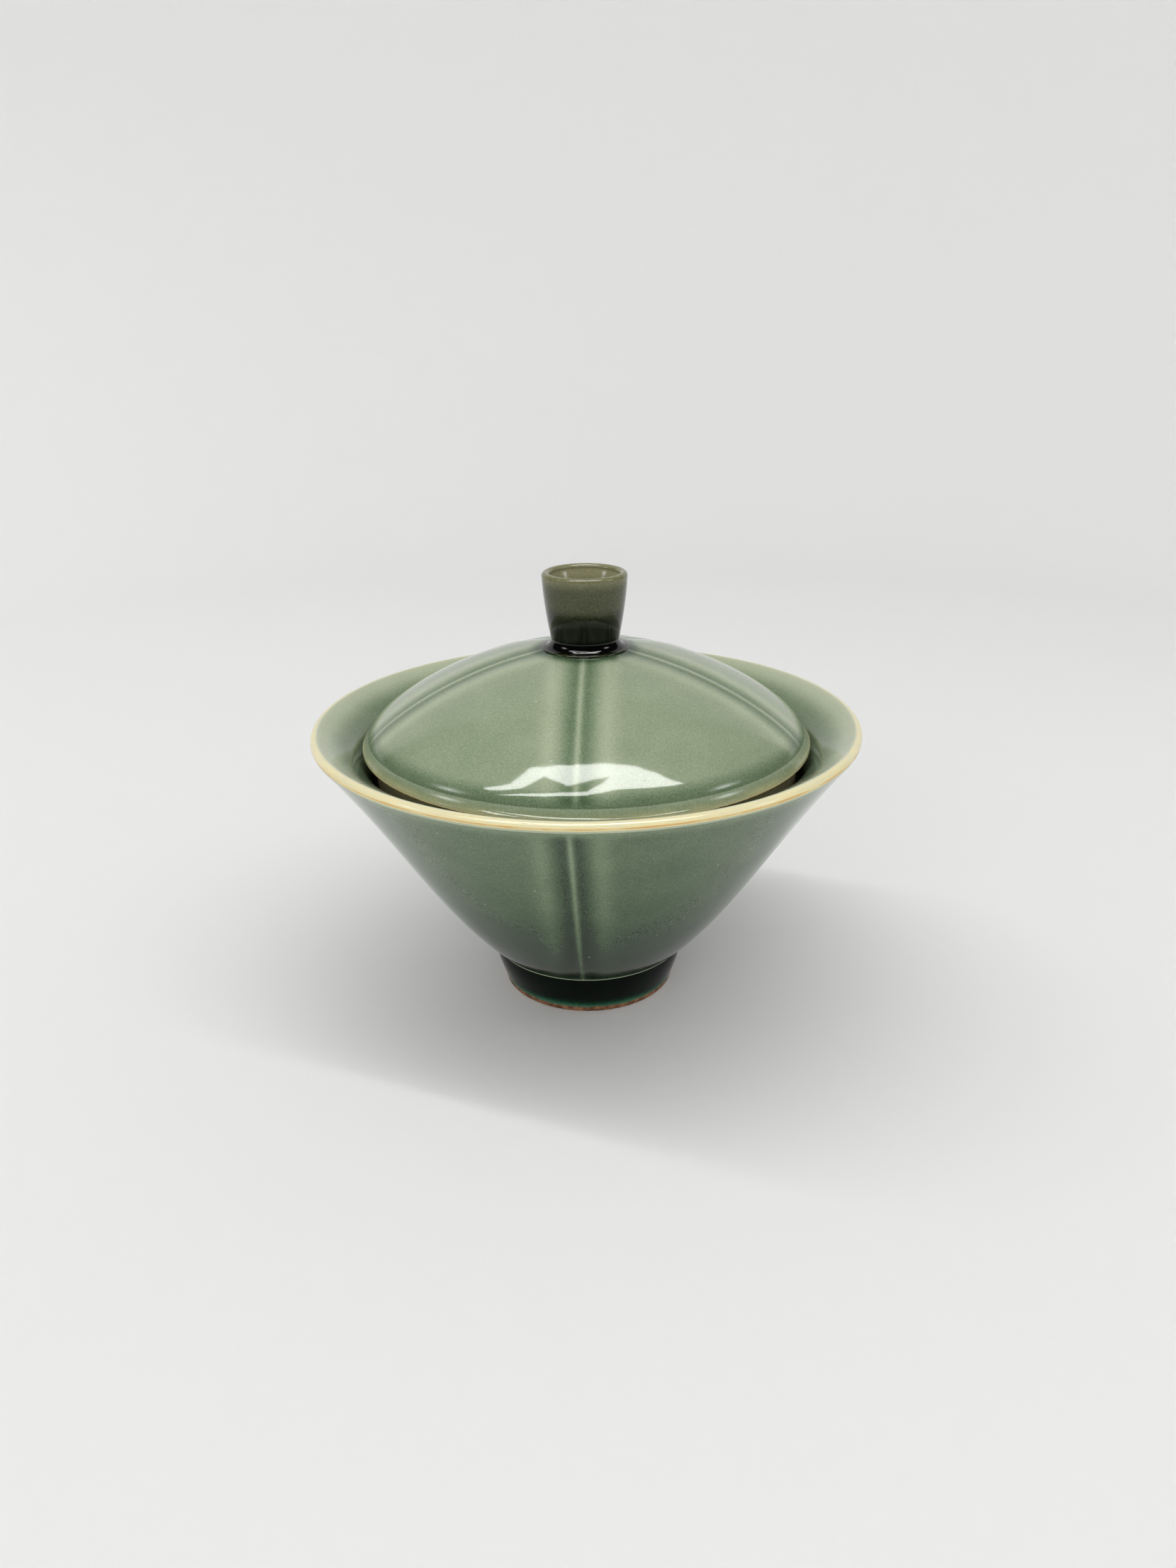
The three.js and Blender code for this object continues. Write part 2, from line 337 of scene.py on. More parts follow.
# ---- Meshes ----
def revolved(name, outline, columns, closed=False):
    """A mesh revolved from rings. Azimuth 0 faces -Y and grows towards +X.

    An open outline starts and ends on the axis; a closed one joins its last ring to its first.
    """
    normals = outline_normals([ring.point for ring in outline])
    vertices = []
    layers = {"glaze_depth_and_painted_shade": [], "bare_clay": [], "golden": []}
    starts = []
    for ring, normal in zip(outline, normals):
        starts.append(len(vertices))
        on_axis = ring.point[0] < ON_AXIS
        for azimuth, from_rib in columns[:1] if on_axis else columns:
            distance = from_rib * ring.point[0]
            point = Vector(ring.point) + ring.relief * rib_rise(distance) * normal
            x = point.x * math.sin(azimuth)
            y = -point.x * math.cos(azimuth)
            vertices.append((x * MM, y * MM, point.y * MM))
            from_ribs = rib_depth(distance, ring.pooling, ring.thinning)
            layers["glaze_depth_and_painted_shade"].append(max(ring.depth + from_ribs, 0.0))
            layers["bare_clay"].append(ring.bare)
            layers["golden"].append(ring.gold)
    count = len(columns)
    pairs = list(zip(range(len(outline)), range(1, len(outline))))
    if closed:
        pairs.append((len(outline) - 1, 0))
    faces = []
    for low, high in pairs:
        low_on_axis = outline[low].point[0] < ON_AXIS
        high_on_axis = outline[high].point[0] < ON_AXIS
        for i in range(count):
            j = (i + 1) % count
            a, b = starts[low], starts[high]
            if low_on_axis:
                faces.append((a, b + j, b + i))
            elif high_on_axis:
                faces.append((a + i, a + j, b))
            else:
                faces.append((a + i, a + j, b + j, b + i))
    mesh = bpy.data.meshes.new(name)
    mesh.from_pydata(vertices, [], faces)
    for layer, values in layers.items():
        attribute = mesh.attributes.new(layer, "FLOAT", "POINT")
        attribute.data.foreach_set("value", values)
    mesh.polygons.foreach_set("use_smooth", [True] * len(mesh.polygons))
    mesh.validate()
    piece = bpy.data.objects.new(name, mesh)
    bpy.context.scene.collection.objects.link(piece)
    return piece


# ---- Bowl ----
LIP_HALF = RIM_THICKNESS / 2
LIP_CENTRE = (BOWL_HIGH.x - LIP_HALF, BOWL_HIGH.z - LIP_HALF)
LIP = arc(LIP_CENTRE, LIP_HALF, LIP_START_ANGLE, LIP_END_ANGLE, SHORT_STEPS)
CREASE = (CREASE_RADIUS, CREASE_HEIGHT)
OUTER_WALL = bezier(CREASE, WALL_LOWER_PULL, WALL_UPPER_PULL, LIP[0], LONG_STEPS)
LOWER_INSIDE = [
    point for point in thickened(OUTER_WALL, WALL_THICKNESS_AT_FOOT, RIM_THICKNESS)
    if point[0] < GALLERY_FOOT_RADIUS
]
GALLERY = bezier(LIP[-1], GALLERY_UPPER_PULL, GALLERY_LOWER_PULL, LOWER_INSIDE[-1], MIDDLE_STEPS)


def wall_depth(t):
    """Thin under the rim and at the crease's edge, and darker towards the foot: partly glaze that runs
    down and pools there, partly painted shade under the flare.
    """
    run_down_and_shade = WALL_RUN_DOWN_AND_PAINTED_SHADE * fade(t, 0.0, 1.0) + WALL_POOL_AND_PAINTED_SHADE * fade(t, 0.05, 0.6)
    under_rim = LOST_UNDER_RIM * smoothstep(t, 0.955, 1.0)
    at_crease = LOST_AT_CREASE * bump(t, 0.03)
    return WALL_GLAZE + run_down_and_shade - under_rim - at_crease


def wall_relief(t):
    return smoothstep(t, 0.0, 0.03) * fade(t, 0.9, 1.0)


def wall_pooling(t):
    """The wall stands steeper than the lid, so the glaze pools more strongly beside its ribs."""
    return WALL_POOLING * fade(t, 0.95, 1.0)


def wall_thinning(t):
    """The ridges stay pale all the way down, even where the wall is darkest."""
    return (WALL_THINNING + WALL_THINNING_BELOW * fade(t, 0.1, 0.6)) * fade(t, 0.95, 1.0)


def lip_depth(t):
    """From the wall over the lip to the inside: nearly bare on its outer edge."""
    return mix(0.55, 0.10, smoothstep(t, 0.1, 0.4)) + 0.35 * smoothstep(t, 0.75, 1.0)


def lip_gold(t):
    """An orange line along the outer edge of the lip, and a pale warmth over its top."""
    over_top = smoothstep(t, 0.1, 0.3) * fade(t, 0.7, 1.0)
    return 0.33 * over_top + 0.65 * bump(t - 0.24, 0.08)


def gallery_depth(t):
    """From the lip down to the lower wall: the glaze runs off the flare and stays in the gallery."""
    return mix(FLARE_GLAZE, GALLERY_GLAZE, smoothstep(t, 0.0, 0.18))


def crease_edge_depth(t):
    return mix(3.0, 0.4, t)


def lower_inside_depth(t):
    return mix(LOWER_INSIDE_GLAZE, WELL_EDGE_GLAZE, smoothstep(t, 0.0, 0.3))


def well_depth(t):
    return mix(WELL_EDGE_GLAZE, WELL_GLAZE, smoothstep(t, 0.0, 0.4))


def make_bowl_body():
    base_height = BOWL_LOW.z
    foot_seat = CREASE_HEIGHT - CREASE_ROUNDING
    underside = [(0.0, base_height), (BASE_RADIUS, base_height), (BASE_RADIUS, foot_seat)]
    edge_centre = (CREASE_RADIUS - CREASE_ROUNDING, CREASE_HEIGHT)
    edge = arc(edge_centre, CREASE_ROUNDING, -90, CREASE_END_ANGLE, CREASE_STEPS)
    lower_inside = LOWER_INSIDE[1:-1][::-1]
    well = bezier(lower_inside[-1], WELL_PULL, WELL_PULL, (0.0, WELL_HEIGHT), SHORT_STEPS)
    outline = (
        rings(underside, BASE_GLAZE)
        + rings(edge, crease_edge_depth)
        + rings(OUTER_WALL, wall_depth, wall_relief, wall_pooling, wall_thinning)
        + rings(LIP[1:], lip_depth, gold=lip_gold)
        + rings(GALLERY[1:], gallery_depth)
        + rings(lower_inside, lower_inside_depth)
        + rings(well[1:], well_depth)
    )
    return revolved("bowl_glazed_wall", outline, ribbed_columns(BOWL_RIB_TURN))


def foot_side_depth(t):
    # Up from the bottom edge the foot goes near black: partly pooled glaze, partly painted shade under
    # the bowl's flare.
    return mix(FOOT_THIN_GLAZE, FOOT_POOL_AND_PAINTED_SHADE, smoothstep(t, 0.05, 0.45))


def foot_side_bare(t):
    return fade(t * CREASE_HEIGHT, *FOOT_BARE_EDGE)


def foot_inside_bare(t):
    return smoothstep(t, 0.8, 0.95)


def make_foot_ring():
    rounding = FOOT_EDGE_ROUNDING
    outer_edge = arc((FOOT_BOTTOM_RADIUS - rounding, rounding), rounding, -90, 0, ROUNDING_STEPS)
    inner_edge = arc((FOOT_INNER_RADIUS + rounding, rounding), rounding, 180, 270, ROUNDING_STEPS)
    outer_top = (FOOT_TOP_RADIUS, CREASE_HEIGHT)
    inner_top = (FOOT_INNER_RADIUS, CREASE_HEIGHT)
    inner_pulls = [(FOOT_INNER_RADIUS, height) for height in FOOT_INNER_PULL_HEIGHTS]
    side = bezier(outer_edge[-1], FOOT_LOWER_PULL, FOOT_UPPER_PULL, outer_top, FOOT_SIDE_STEPS)
    inner_side = bezier(inner_top, *inner_pulls, inner_edge[0], STRAIGHT_STEPS)
    outline = (
        rings(outer_edge, BARE_CLAY_GLAZE, bare=1.0)
        + rings(side[1:], foot_side_depth, bare=foot_side_bare)
        + rings(inner_side, FOOT_INSIDE_GLAZE, bare=foot_inside_bare)
        + rings(inner_edge[1:-1], BARE_CLAY_GLAZE, bare=1.0)
    )
    return revolved("foot_glazed_ring", outline, plain_columns(), closed=True)


# ---- Lid ----
DOME_TOP = bezier(SHOULDER, DOME_SHOULDER_PULL, DOME_CROWN_PULL, (0.0, DOME_HIGH.z), LONG_STEPS)
DOME_UNDERSIDE = thickened(DOME_TOP, LID_THICKNESS, LID_THICKNESS)


def dome_depth(t):
    """From the shoulder to the crown, where the glaze pools round the knob's neck."""
    at_shoulder = SHOULDER_POOL * fade(t, 0.08, 0.2) - LOST_AT_SHOULDER * bump(t, 0.010)
    neck_distance = DOME_TOP[round(t * LONG_STEPS)][0] - KNOB_NECK_RADIUS - KNOB_FILLET
    return DOME_GLAZE + at_shoulder + NECK_HALO * bump(max(neck_distance, 0.0), 1.6)


def dome_relief(t):
    return smoothstep(t, 0.3, 0.6) * fade(t, 0.8, 0.92)


def dome_pooling(t):
    """The same share of the pools beside the ribs and of the thin glaze on them."""
    return smoothstep(t, 0.0, 0.12) * fade(t, 0.84, 0.92)


def edge_depth(t):
    """Round the lid's edge, from its underside up to the shoulder."""
    return mix(LID_UNDER_EDGE_GLAZE, LID_EDGE_GLAZE, smoothstep(t, 0.4, 0.9))


def edge_bare(t):
    return fade(t, 0.3, 0.5)


def edge_gold(t):
    """A golden line above the bare clay, and a faint warmth from there up."""
    return 0.7 * bump(t - 0.42, 0.1) + 0.2 * smoothstep(t, 0.4, 0.6)


def make_lid_dome():
    seat_radius = FLANGE_RADIUS - FLANGE_THICKNESS
    rounding = LID_EDGE_ROUNDING
    lower_centre = (LID_RADIUS - rounding, LID_UNDERSIDE_HEIGHT + rounding)
    upper_centre = (LID_RADIUS - rounding, LID_EDGE_HEIGHT - rounding)
    edge = (
        arc(lower_centre, rounding, -90, 0, LID_EDGE_STEPS)
        + arc(upper_centre, rounding, 0, LID_EDGE_END_ANGLE, LID_EDGE_STEPS)
    )
    inside = [point for point in DOME_UNDERSIDE[::-1] if point[0] < seat_radius]
    inside[0] = (0.0, inside[0][1])
    seat_height = height_at_radius(DOME_UNDERSIDE, seat_radius)
    seat = [(seat_radius, seat_height), (FLANGE_RADIUS, LID_UNDERSIDE_HEIGHT)]
    outline = (
        rings(inside, LID_INSIDE_GLAZE)
        + rings(seat, LID_SEAT_GLAZE)
        + rings(edge, edge_depth, bare=edge_bare, gold=edge_gold)
        + rings(DOME_TOP, dome_depth, dome_relief, dome_pooling, dome_pooling)
    )
    return revolved("lid_glazed_dome", outline, ribbed_columns(LID_RIB_TURN))


def flange_outside_bare(t):
    return fade(t, 0.1, 0.3)


def flange_inside_bare(t):
    return smoothstep(t, 0.85, 0.98)


def make_lid_flange():
    inner = FLANGE_RADIUS - FLANGE_THICKNESS
    rounding = FLANGE_EDGE_ROUNDING
    bottom = FLANGE_LOW.z
    outer_edge = arc((FLANGE_RADIUS - rounding, bottom + rounding), rounding, -90, 0, ROUNDING_STEPS)
    inner_edge = arc((inner + rounding, bottom + rounding), rounding, 180, 270, ROUNDING_STEPS)
    outer_top = (FLANGE_RADIUS, LID_UNDERSIDE_HEIGHT + TUCK)
    inner_top = (inner, height_at_radius(DOME_UNDERSIDE, inner) + TUCK)
    outer_side = bezier(outer_edge[-1], outer_edge[-1], outer_top, outer_top, STRAIGHT_STEPS)
    inner_side = bezier(inner_top, inner_top, inner_edge[0], inner_edge[0], STRAIGHT_STEPS)
    outline = (
        rings(outer_edge, BARE_CLAY_GLAZE, bare=1.0)
        + rings(outer_side[1:], FLANGE_OUTSIDE_GLAZE, bare=flange_outside_bare)
        + rings(inner_side, FLANGE_INSIDE_GLAZE, bare=flange_inside_bare)
        + rings(inner_edge[1:-1], BARE_CLAY_GLAZE, bare=1.0)
    )
    return revolved("lid_locating_flange", outline, plain_columns(), closed=True)


def fillet_depth(t):
    """From the dome in to the neck: the glaze collects in the corner."""
    return mix(FILLET_GLAZE, NECK_POOL, smoothstep(t, 0.0, 0.5))


def knob_depth(t):
    """Up the outside: a painted dark band above the neck for the shade and the lid's reflection there, an
    open wall over it, thin under the lip.
    """
    return KNOB_GLAZE + KNOB_PAINTED_DARK_BAND * fade(t, 0.22, 0.64) - LOST_UNDER_KNOB_LIP * smoothstep(t, 0.84, 1.0)


def knob_lip_depth(t):
    """From the outside over the lip into the cup: thinnest on top."""
    outer = mix(KNOB_LIP_OUTER_GLAZE, KNOB_LIP_TOP_GLAZE, smoothstep(t, 0.1, 0.5))
    return outer + KNOB_LIP_INNER_GAIN * smoothstep(t, 0.8, 1.0)


def cup_depth(t):
    return mix(CUP_RIM_GLAZE, CUP_WALL_GLAZE, smoothstep(t, 0.1, 0.6))


def cup_floor_depth(t):
    return mix(CUP_WALL_GLAZE, CUP_FLOOR_GLAZE, t)


def make_lid_knob():
    fillet_centre = (KNOB_NECK_RADIUS + KNOB_FILLET, KNOB_FOOT_HEIGHT + KNOB_FILLET)
    fillet = arc(fillet_centre, KNOB_FILLET, 270, 180, FILLET_STEPS)
    seat = [(0.0, KNOB_FOOT_HEIGHT - TUCK), (fillet[0][0], KNOB_FOOT_HEIGHT - TUCK)]
    lip_half = KNOB_LIP_THICKNESS / 2
    lip_centre = (KNOB_TOP_RADIUS - lip_half, KNOB_HIGH.z - lip_half)
    lip = arc(lip_centre, lip_half, 0, 180, KNOB_LIP_STEPS)
    side = bezier(fillet[-1], KNOB_LOWER_PULL, KNOB_UPPER_PULL, lip[0], MIDDLE_STEPS)
    cup = bezier(lip[-1], CUP_RIM_PULL, CUP_THROAT_PULL, CUP_THROAT, CUP_STEPS)
    floor = bezier(CUP_THROAT, CUP_CORNER_PULL, CUP_FLOOR_PULL, CUP_FLOOR, CUP_FLOOR_STEPS)
    outline = (
        rings(seat, KNOB_SEAT_GLAZE)
        + rings(fillet, fillet_depth)
        + rings(side[1:], knob_depth)
        + rings(lip[1:], knob_lip_depth)
        + rings(cup[1:], cup_depth)
        + rings(floor[1:], cup_floor_depth)
    )
    return revolved("lid_cup_knob", outline, plain_columns())


# ---- Materials ----
class Shader:
    """A node material with a Principled surface, and short calls that add nodes to it."""

    def __init__(self, name):
        self.material = bpy.data.materials.new(name)
        self.material.use_nodes = True
        self.tree = self.material.node_tree
        self.surface = self.tree.nodes["Principled BSDF"]
        coordinates = self.tree.nodes.new("ShaderNodeTexCoord")
        self.place = self.scaled(coordinates.outputs["Object"], 1 / MM)

    def put(self, socket, value):
        """Links a socket to another one, or sets its number or colour."""
        if isinstance(value, bpy.types.NodeSocket):
            self.tree.links.new(value, socket)
        else:
            socket.default_value = value

    def scaled(self, vector, factor):
        node = self.tree.nodes.new("ShaderNodeVectorMath")
        node.operation = "SCALE"
        self.put(node.inputs[0], vector)
        node.inputs["Scale"].default_value = factor
        return node.outputs[0]

    def math(self, operation, first, second=0.0):
        node = self.tree.nodes.new("ShaderNodeMath")
        node.operation = operation
        self.put(node.inputs[0], first)
        self.put(node.inputs[1], second)
        return node.outputs[0]

    def layer(self, name):
        node = self.tree.nodes.new("ShaderNodeAttribute")
        node.attribute_name = name
        return node.outputs["Fac"]

    def noise(self, size, detail):
        """Noise from 0 to 1, with features of about this size in millimetres."""
        node = self.tree.nodes.new("ShaderNodeTexNoise")
        self.put(node.inputs["Vector"], self.place)
        node.inputs["Scale"].default_value = 1 / size
        node.inputs["Detail"].default_value = detail
        node.inputs["Roughness"].default_value = 0.5
        return node.outputs["Fac"]

    def spots(self, spacing, radius, share):
        """1 inside round spots of this radius, which this share of the cells of this spacing have."""
        node = self.tree.nodes.new("ShaderNodeTexVoronoi")
        self.put(node.inputs["Vector"], self.place)
        node.inputs["Scale"].default_value = 1 / spacing
        inside = self.ramp(node.outputs["Distance"], 0.5 * radius / spacing, radius / spacing, 1.0, 0.0)
        parts = self.tree.nodes.new("ShaderNodeSeparateColor")
        self.put(parts.inputs[0], node.outputs["Color"])
        chosen = self.math("LESS_THAN", parts.outputs[0], share)
        return self.math("MULTIPLY", inside, chosen)

    def ramp(self, value, low, high, start, end):
        """Takes value from low..high to start..end, smoothly, and holds it outside."""
        node = self.tree.nodes.new("ShaderNodeMapRange")
        node.interpolation_type = "SMOOTHSTEP"
        self.put(node.inputs["Value"], value)
        node.inputs["From Min"].default_value = low
        node.inputs["From Max"].default_value = high
        node.inputs["To Min"].default_value = start
        node.inputs["To Max"].default_value = end
        return node.outputs["Result"]

    def tint(self, share, colour, tone):
        """A colour with this share of an even tone in it."""
        node = self.tree.nodes.new("ShaderNodeMix")
        node.data_type = "RGBA"
        self.put(node.inputs["Factor"], share)
        first, second = [socket for socket in node.inputs if socket.type == "RGBA"]
        self.put(first, colour)
        self.put(second, tone if isinstance(tone, bpy.types.NodeSocket) else (*tone, 1.0))
        return next(socket for socket in node.outputs if socket.type == "RGBA")

    def filtered(self, depth, body, absorption):
        """Colour of a clay body seen through that depth of glaze."""
        node = self.tree.nodes.new("ShaderNodeCombineColor")
        for channel in range(3):
            lost = self.math("MULTIPLY", depth, -absorption[channel])
            kept = self.math("EXPONENT", lost)
            self.put(node.inputs[channel], self.math("MULTIPLY", kept, body[channel]))
        return node.outputs[0]

    def bump(self, height, distance, normal=None):
        """A bump of this distance in millimetres."""
        node = self.tree.nodes.new("ShaderNodeBump")
        self.put(node.inputs["Height"], height)
        node.inputs["Distance"].default_value = distance * MM
        if normal is not None:
            self.put(node.inputs["Normal"], normal)
        return node.outputs["Normal"]


@dataclass
class Glaze:
    """The clay's colour, how strongly the glaze filters each channel of it, and how it shines."""
    body: tuple
    absorption: tuple
    roughness: float = 0.07
    refraction: float = 1.45


GLAZES = {
    "celadon_glaze": Glaze((0.745, 0.725, 0.561), (1.02, 0.80, 0.98), refraction=1.5),
    # The foot's glaze: its near-black colour is partly painted shade, and its low refraction keeps it
    # from mirroring much.
    "pooled_glaze": Glaze((0.50, 0.56, 0.44), (1.35, 0.80, 0.95), refraction=1.2),
    "thin_glaze": Glaze((0.62, 0.52, 0.36), (0.7, 0.62, 0.9), roughness=0.2),
    "knob_glaze": Glaze((0.62, 0.57, 0.38), (1.12, 1.05, 1.25)),
}
CLAY = (0.30, 0.155, 0.075)
DARK_CLAY = (0.12, 0.055, 0.03)
CLAY_ROUGHNESS = 0.75
GOLD = (0.62, 0.35, 0.10)
PALE_GOLD = (0.86, 0.74, 0.38)
PINHOLE = (0.62, 0.66, 0.56)
IRON_SPECK = (0.10, 0.06, 0.03)

# Sizes of the patterns, in millimetres
CLOUD_SIZE = 9.0
GRAIN_SIZE = 0.34
STREAK_SIZE = 6.0
CLAY_CLOUD_SIZE = 1.2
FRAY_SIZE = 1.1
WAVE_SIZE = 5.0
GRIT_SIZE = 0.25
PINHOLES = {"spacing": 3.4, "radius": 0.2, "share": 0.3}
IRON_SPECKS = {"spacing": 7.0, "radius": 0.16, "share": 0.12}
WAVE_HEIGHT = 0.035
PINHOLE_DEPTH = 0.02
GRIT_HEIGHT = 0.12

# Strengths of the patterns: the first two are shares of the glaze's thickness
CLOUD_STRENGTH = 0.05
GRAIN_STRENGTH = 0.13
FRAY_STRENGTH = 0.22
PINHOLE_STRENGTH = 0.75
IRON_SPECK_STRENGTH = 0.7
PALE_GOLD_STRENGTH = 0.8
GOLD_STRENGTH = 0.9


def glazed_colour(s, glaze, pinholes):
    """The clay's own colour filtered by an uneven glaze, with pinholes and iron specks."""
    cloud = s.ramp(s.noise(CLOUD_SIZE, detail=3.0), 0.3, 0.7, -CLOUD_STRENGTH, CLOUD_STRENGTH)
    grain = s.ramp(s.noise(GRAIN_SIZE, detail=1.0), 0.25, 0.75, -GRAIN_STRENGTH, GRAIN_STRENGTH)
    unevenness = s.math("ADD", s.math("ADD", cloud, grain), 1.0)
    depth = s.math("MULTIPLY", s.layer("glaze_depth_and_painted_shade"), unevenness)
    colour = s.filtered(depth, glaze.body, glaze.absorption)
    colour = s.tint(s.math("MULTIPLY", pinholes, PINHOLE_STRENGTH), colour, PINHOLE)
    specks = s.spots(**IRON_SPECKS)
    return s.tint(s.math("MULTIPLY", specks, IRON_SPECK_STRENGTH), colour, IRON_SPECK)


def with_gold(s, colour):
    """A pale warmth where the golden layer is weak, and gold where it is strong."""
    streaks = s.ramp(s.noise(STREAK_SIZE, detail=3.0), 0.3, 0.7, 0.75, 1.1)
    golden = s.math("MULTIPLY", s.layer("golden"), streaks)
    colour = s.tint(s.ramp(golden, 0.0, 0.5, 0.0, PALE_GOLD_STRENGTH), colour, PALE_GOLD)
    return s.tint(s.ramp(golden, 0.45, 0.95, 0.0, GOLD_STRENGTH), colour, GOLD)


def glaze_material(name, glaze):
    """Celadon, with bare clay where the glaze stops in a frayed edge."""
    s = Shader(name)
    pinholes = s.spots(**PINHOLES)
    colour = with_gold(s, glazed_colour(s, glaze, pinholes))
    clay_cloud = s.ramp(s.noise(CLAY_CLOUD_SIZE, detail=4.0), 0.35, 0.65, 0.0, 1.0)
    clay_tone = s.tint(clay_cloud, (*CLAY, 1.0), DARK_CLAY)
    fray = s.ramp(s.noise(FRAY_SIZE, detail=3.0), 0.3, 0.7, -FRAY_STRENGTH, FRAY_STRENGTH)
    bare = s.ramp(s.math("ADD", s.layer("bare_clay"), fray), 0.35, 0.65, 0.0, 1.0)
    s.put(s.surface.inputs["Base Color"], s.tint(bare, colour, clay_tone))
    s.put(s.surface.inputs["Roughness"], s.ramp(bare, 0.0, 1.0, glaze.roughness, CLAY_ROUGHNESS))
    s.surface.inputs["IOR"].default_value = glaze.refraction
    waves = s.bump(s.noise(WAVE_SIZE, detail=1.0), WAVE_HEIGHT)
    pits = s.bump(s.math("MULTIPLY", pinholes, -1.0), PINHOLE_DEPTH, waves)
    grit = s.bump(s.math("MULTIPLY", s.noise(GRIT_SIZE, detail=3.0), bare), GRIT_HEIGHT, pits)
    s.put(s.surface.inputs["Normal"], grit)
    return s.material


# ---- Assembly ----
def assemble():
    """Builds each piece, gives it its material, attaches it to the body it rides on and hides the CAD
    node it stands for.
    """
    materials = {name: glaze_material(name, glaze) for name, glaze in GLAZES.items()}
    pieces = (
        (make_bowl_body, "bowl", "bowl_body", "celadon_glaze"),
        (make_foot_ring, "bowl", "foot_ring", "pooled_glaze"),
        (make_lid_dome, "lid", "lid_dome", "celadon_glaze"),
        (make_lid_flange, "lid", "lid_flange", "thin_glaze"),
        (make_lid_knob, "lid", "lid_knob", "knob_glaze"),
    )
    for make, body, node, slot in pieces:
        piece = make()
        piece.data.materials.append(materials[slot])
        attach(piece, body)
        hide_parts(node)


# ---- Studio, in metres ----
FLOOR_RADIUS = 0.46
SWEEP_RADIUS = 0.34
WALL_HEIGHT = 0.62
SWEEP_COLOUR = (0.80, 0.80, 0.795)
CEILING_GLOW = 0.385
BOARD_HEIGHT = 1.0
BOARD_GLOW = 13.0
BOARD_OUTLINE = (
    (-0.71, -0.23), (-0.45, -0.16), (-0.29, 0.01), (0.25, 0.01), (0.61, -0.18), (0.48, -0.25),
    (0.17, -0.31), (0.0, -0.45), (-0.41, -0.485), (-0.75, -0.46), (-0.38, -0.39), (0.0, -0.35),
    (0.12, -0.13), (0.0, -0.18), (-0.10, -0.25), (-0.22, -0.09), (-0.38, -0.25), (-0.69, -0.29),
)
TOP_PANEL = {"place": (-0.03, -0.072, BOARD_HEIGHT), "size": (2.2, 0.05), "power": 7.3}
FRONT_PANEL = {"place": (-0.22, -0.95, 0.53), "size": (1.25, 0.40), "power": 3.1}
TENT_RADIUS = 1.6
STAGE_COLUMNS = 96

# The tent, in degrees
TENT_STEP = 3
TENT_BOTTOM = -27
SHEET_HALF_WIDTH = 60
SHEET_NARROWING = 0.40
SHEET_SOFTNESS = 1.5
SHEET_TOP = (40, 64)
LAMP_PLACE = (77, 31)
LAMP_HALF_SIZE = (7, 5)
ROOM_GLOW = 0.04
SHEET_GLOW = 0.62
SHEET_TOP_GLOW = 0.42
FLOOR_GLOW = 0.7
LAMP_GLOW = 8.0

CAMERA_PLACE = (0.00026, -0.2380, 0.1411)
CAMERA_PITCH = math.radians(68.17)
CAMERA_ROLL = math.radians(-0.61)
CAMERA_LENS = 27.03


def stage_piece(name, vertices, faces, material):
    """A smooth mesh that belongs to the studio, not to the object."""
    mesh = bpy.data.meshes.new(name)
    mesh.from_pydata(vertices, [], faces)
    mesh.materials.append(material)
    mesh.polygons.foreach_set("use_smooth", [True] * len(mesh.polygons))
    piece = bpy.data.objects.new(name, mesh)
    bpy.context.scene.collection.objects.link(piece)
    return piece


def round_surface(outline, count):
    """Vertices and faces of an outline of (radius, height) turned about the axis, facing in and up."""
    vertices = []
    for radius, height in outline:
        for i in range(count):
            angle = 2 * math.pi * i / count
            vertices.append((radius * math.cos(angle), radius * math.sin(angle), height))
    faces = []
    for row in range(len(outline) - 1):
        low, high = row * count, (row + 1) * count
        for i in range(count):
            j = (i + 1) % count
            faces.append((low + i, high + i, high + j, low + j))
    return vertices, faces


def make_sweep():
    """A round studio sweep: a flat floor that turns up into a wall all the way round.

    The glaze mirrors the tent instead of the wall, and lights outside the wall shine through it.
    """
    shader = Shader("sweep_paper")
    shader.surface.inputs["Base Color"].default_value = (*SWEEP_COLOUR, 1.0)
    shader.surface.inputs["Roughness"].default_value = 1.0
    shader.surface.inputs["Specular IOR Level"].default_value = 0.0
    curve = arc((FLOOR_RADIUS, SWEEP_RADIUS), SWEEP_RADIUS, -90, 0, SHORT_STEPS)
    wall = curve + [(FLOOR_RADIUS + SWEEP_RADIUS, WALL_HEIGHT)]
    floor = [(0.001, 0.0), (FLOOR_RADIUS / 2, 0.0), (FLOOR_RADIUS, 0.0)]
    stage_piece("studio_floor", *round_surface(floor, STAGE_COLUMNS), shader.material)
    wall_piece = stage_piece("studio_wall", *round_surface(wall, STAGE_COLUMNS), shader.material)
    wall_piece.visible_glossy = False
    wall_piece.visible_shadow = False


def glow_material(name, strength):
    """A surface that only gives off light. The strength is a number or the name of a mesh layer."""
    material = bpy.data.materials.new(name)
    material.use_nodes = True
    tree = material.node_tree
    tree.nodes.clear()
    emission = tree.nodes.new("ShaderNodeEmission")
    if isinstance(strength, str):
        layer = tree.nodes.new("ShaderNodeAttribute")
        layer.attribute_name = strength
        tree.links.new(layer.outputs["Fac"], emission.inputs["Strength"])
    else:
        emission.inputs["Strength"].default_value = strength
    output = tree.nodes.new("ShaderNodeOutputMaterial")
    tree.links.new(emission.outputs[0], output.inputs["Surface"])
    return material


def only_mirrored(piece):
    """The glaze mirrors this piece, but it casts no light or shadow on anything else."""
    piece.visible_camera = False
    piece.visible_diffuse = False
    piece.visible_shadow = False


def make_board():
    """The overhead light as the glaze mirrors it: a bent panel with an open slot in it."""
    vertices = [(x, y, BOARD_HEIGHT) for x, y in BOARD_OUTLINE]
    faces = [range(len(vertices))]
    board = stage_piece("light_board", vertices, faces, glow_material("board_glow", BOARD_GLOW))
    only_mirrored(board)


